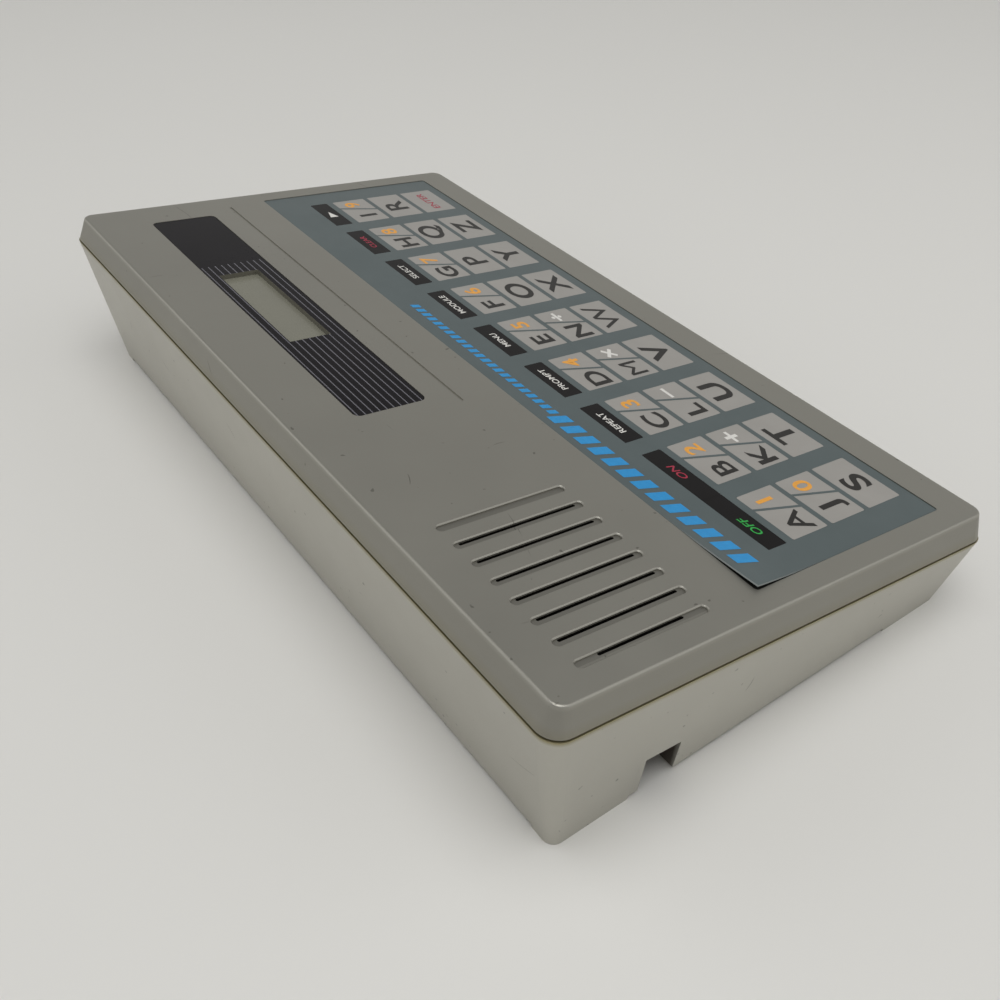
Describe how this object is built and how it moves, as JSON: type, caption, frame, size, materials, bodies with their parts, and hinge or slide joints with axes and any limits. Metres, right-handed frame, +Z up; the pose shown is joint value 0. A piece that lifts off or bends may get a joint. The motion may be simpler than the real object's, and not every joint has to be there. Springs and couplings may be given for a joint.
{
  "type": "learning computer",
  "caption": "Wedge-shaped table-top talking learning computer with a flat membrane alphabet keypad, dark display panel, slotted speaker grille and underside battery door",
  "frame": {"origin": "on the table under the middle of the case", "axes": "+X to the user's right, +Y away from the user towards the display, +Z up"},
  "size_m": [0.2584, 0.1426, 0.0521],
  "materials": {
    "case": "satin",
    "overlay": "satin",
    "light_key": "satin",
    "dark_key": "satin",
    "panel": "satin",
    "lcd": "satin",
    "film": "satin",
    "dark_plastic": "satin",
    "board": "satin",
    "steel": "satin",
    "magnet": "matte",
    "cone": "matte",
    "can": "satin"
  },
  "bodies": {
    "case": {"top_cover": "case", "bottom_case": "case", "keypad_overlay": "overlay", "display_plate": "panel", "display_glass": "lcd", "membrane_circuit": "film", "keypad_tail": "film", "display_holder": "dark_plastic", "tail_connector": "dark_plastic", "power_jack": "dark_plastic", "processor_chip": "dark_plastic", "voice_chip": "dark_plastic", "memory_chip": "dark_plastic", "main_board": "board", "speaker_basket": "steel", "battery_contacts": "steel", "case_screws": "steel", "board_screws": "steel", "clock_crystal": "steel", "speaker_magnet": "magnet", "speaker_cone": "cone", "battery_cells": "can", "board_capacitors": "can"},
    "door": {"battery_door": "case"},
    "key_a_zone": {"key_a": "light_key"},
    "key_b_zone": {"key_b": "light_key"},
    "key_c_zone": {"key_c": "light_key"},
    "key_d_zone": {"key_d": "light_key"},
    "key_e_zone": {"key_e": "light_key"},
    "key_f_zone": {"key_f": "light_key"},
    "key_g_zone": {"key_g": "light_key"},
    "key_h_zone": {"key_h": "light_key"},
    "key_i_zone": {"key_i": "light_key"},
    "key_j_zone": {"key_j": "light_key"},
    "key_k_zone": {"key_k": "light_key"},
    "key_l_zone": {"key_l": "light_key"},
    "key_m_zone": {"key_m": "light_key"},
    "key_n_zone": {"key_n": "light_key"},
    "key_o_zone": {"key_o": "light_key"},
    "key_p_zone": {"key_p": "light_key"},
    "key_q_zone": {"key_q": "light_key"},
    "key_r_zone": {"key_r": "light_key"},
    "key_s_zone": {"key_s": "light_key"},
    "key_t_zone": {"key_t": "light_key"},
    "key_u_zone": {"key_u": "light_key"},
    "key_v_zone": {"key_v": "light_key"},
    "key_w_zone": {"key_w": "light_key"},
    "key_x_zone": {"key_x": "light_key"},
    "key_y_zone": {"key_y": "light_key"},
    "key_z_zone": {"key_z": "light_key"},
    "key_enter_zone": {"key_enter": "light_key"},
    "key_off_zone": {"key_off": "dark_key"},
    "key_on_zone": {"key_on": "dark_key"},
    "key_repeat_zone": {"key_repeat": "dark_key"},
    "key_prompt_zone": {"key_prompt": "dark_key"},
    "key_menu_zone": {"key_menu": "dark_key"},
    "key_module_zone": {"key_module": "dark_key"},
    "key_select_zone": {"key_select": "dark_key"},
    "key_clear_zone": {"key_clear": "dark_key"},
    "key_next_zone": {"key_next": "dark_key"}
  },
  "joints": [
    {"name": "door_hinge", "type": "hinge", "parent": "case", "child": "door", "pos_m": [0.05, 0.05791, 0.0014], "axis": [1, 0, 0], "range_deg": [0, 90]},
    {"name": "key_a_press", "type": "slide", "parent": "case", "child": "key_a_zone", "axis": [0, 0.1564, -0.9877], "range_m": [0, 0.0004], "stiffness_N_per_m": 3000},
    {"name": "key_b_press", "type": "slide", "parent": "case", "child": "key_b_zone", "axis": [0, 0.1564, -0.9877], "range_m": [0, 0.0004], "stiffness_N_per_m": 3000},
    {"name": "key_c_press", "type": "slide", "parent": "case", "child": "key_c_zone", "axis": [0, 0.1564, -0.9877], "range_m": [0, 0.0004], "stiffness_N_per_m": 3000},
    {"name": "key_d_press", "type": "slide", "parent": "case", "child": "key_d_zone", "axis": [0, 0.1564, -0.9877], "range_m": [0, 0.0004], "stiffness_N_per_m": 3000},
    {"name": "key_e_press", "type": "slide", "parent": "case", "child": "key_e_zone", "axis": [0, 0.1564, -0.9877], "range_m": [0, 0.0004], "stiffness_N_per_m": 3000},
    {"name": "key_f_press", "type": "slide", "parent": "case", "child": "key_f_zone", "axis": [0, 0.1564, -0.9877], "range_m": [0, 0.0004], "stiffness_N_per_m": 3000},
    {"name": "key_g_press", "type": "slide", "parent": "case", "child": "key_g_zone", "axis": [0, 0.1564, -0.9877], "range_m": [0, 0.0004], "stiffness_N_per_m": 3000},
    {"name": "key_h_press", "type": "slide", "parent": "case", "child": "key_h_zone", "axis": [0, 0.1564, -0.9877], "range_m": [0, 0.0004], "stiffness_N_per_m": 3000},
    {"name": "key_i_press", "type": "slide", "parent": "case", "child": "key_i_zone", "axis": [0, 0.1564, -0.9877], "range_m": [0, 0.0004], "stiffness_N_per_m": 3000},
    {"name": "key_j_press", "type": "slide", "parent": "case", "child": "key_j_zone", "axis": [0, 0.1564, -0.9877], "range_m": [0, 0.0004], "stiffness_N_per_m": 3000},
    {"name": "key_k_press", "type": "slide", "parent": "case", "child": "key_k_zone", "axis": [0, 0.1564, -0.9877], "range_m": [0, 0.0004], "stiffness_N_per_m": 3000},
    {"name": "key_l_press", "type": "slide", "parent": "case", "child": "key_l_zone", "axis": [0, 0.1564, -0.9877], "range_m": [0, 0.0004], "stiffness_N_per_m": 3000},
    {"name": "key_m_press", "type": "slide", "parent": "case", "child": "key_m_zone", "axis": [0, 0.1564, -0.9877], "range_m": [0, 0.0004], "stiffness_N_per_m": 3000},
    {"name": "key_n_press", "type": "slide", "parent": "case", "child": "key_n_zone", "axis": [0, 0.1564, -0.9877], "range_m": [0, 0.0004], "stiffness_N_per_m": 3000},
    {"name": "key_o_press", "type": "slide", "parent": "case", "child": "key_o_zone", "axis": [0, 0.1564, -0.9877], "range_m": [0, 0.0004], "stiffness_N_per_m": 3000},
    {"name": "key_p_press", "type": "slide", "parent": "case", "child": "key_p_zone", "axis": [0, 0.1564, -0.9877], "range_m": [0, 0.0004], "stiffness_N_per_m": 3000},
    {"name": "key_q_press", "type": "slide", "parent": "case", "child": "key_q_zone", "axis": [0, 0.1564, -0.9877], "range_m": [0, 0.0004], "stiffness_N_per_m": 3000},
    {"name": "key_r_press", "type": "slide", "parent": "case", "child": "key_r_zone", "axis": [0, 0.1564, -0.9877], "range_m": [0, 0.0004], "stiffness_N_per_m": 3000},
    {"name": "key_s_press", "type": "slide", "parent": "case", "child": "key_s_zone", "axis": [0, 0.1564, -0.9877], "range_m": [0, 0.0004], "stiffness_N_per_m": 3000},
    {"name": "key_t_press", "type": "slide", "parent": "case", "child": "key_t_zone", "axis": [0, 0.1564, -0.9877], "range_m": [0, 0.0004], "stiffness_N_per_m": 3000},
    {"name": "key_u_press", "type": "slide", "parent": "case", "child": "key_u_zone", "axis": [0, 0.1564, -0.9877], "range_m": [0, 0.0004], "stiffness_N_per_m": 3000},
    {"name": "key_v_press", "type": "slide", "parent": "case", "child": "key_v_zone", "axis": [0, 0.1564, -0.9877], "range_m": [0, 0.0004], "stiffness_N_per_m": 3000},
    {"name": "key_w_press", "type": "slide", "parent": "case", "child": "key_w_zone", "axis": [0, 0.1564, -0.9877], "range_m": [0, 0.0004], "stiffness_N_per_m": 3000},
    {"name": "key_x_press", "type": "slide", "parent": "case", "child": "key_x_zone", "axis": [0, 0.1564, -0.9877], "range_m": [0, 0.0004], "stiffness_N_per_m": 3000},
    {"name": "key_y_press", "type": "slide", "parent": "case", "child": "key_y_zone", "axis": [0, 0.1564, -0.9877], "range_m": [0, 0.0004], "stiffness_N_per_m": 3000},
    {"name": "key_z_press", "type": "slide", "parent": "case", "child": "key_z_zone", "axis": [0, 0.1564, -0.9877], "range_m": [0, 0.0004], "stiffness_N_per_m": 3000},
    {"name": "key_enter_press", "type": "slide", "parent": "case", "child": "key_enter_zone", "axis": [0, 0.1564, -0.9877], "range_m": [0, 0.0004], "stiffness_N_per_m": 3000},
    {"name": "key_off_press", "type": "slide", "parent": "case", "child": "key_off_zone", "axis": [0, 0.1564, -0.9877], "range_m": [0, 0.0004], "stiffness_N_per_m": 3000},
    {"name": "key_on_press", "type": "slide", "parent": "case", "child": "key_on_zone", "axis": [0, 0.1564, -0.9877], "range_m": [0, 0.0004], "stiffness_N_per_m": 3000},
    {"name": "key_repeat_press", "type": "slide", "parent": "case", "child": "key_repeat_zone", "axis": [0, 0.1564, -0.9877], "range_m": [0, 0.0004], "stiffness_N_per_m": 3000},
    {"name": "key_prompt_press", "type": "slide", "parent": "case", "child": "key_prompt_zone", "axis": [0, 0.1564, -0.9877], "range_m": [0, 0.0004], "stiffness_N_per_m": 3000},
    {"name": "key_menu_press", "type": "slide", "parent": "case", "child": "key_menu_zone", "axis": [0, 0.1564, -0.9877], "range_m": [0, 0.0004], "stiffness_N_per_m": 3000},
    {"name": "key_module_press", "type": "slide", "parent": "case", "child": "key_module_zone", "axis": [0, 0.1564, -0.9877], "range_m": [0, 0.0004], "stiffness_N_per_m": 3000},
    {"name": "key_select_press", "type": "slide", "parent": "case", "child": "key_select_zone", "axis": [0, 0.1564, -0.9877], "range_m": [0, 0.0004], "stiffness_N_per_m": 3000},
    {"name": "key_clear_press", "type": "slide", "parent": "case", "child": "key_clear_zone", "axis": [0, 0.1564, -0.9877], "range_m": [0, 0.0004], "stiffness_N_per_m": 3000},
    {"name": "key_next_press", "type": "slide", "parent": "case", "child": "key_next_zone", "axis": [0, 0.1564, -0.9877], "range_m": [0, 0.0004], "stiffness_N_per_m": 3000}
  ]
}
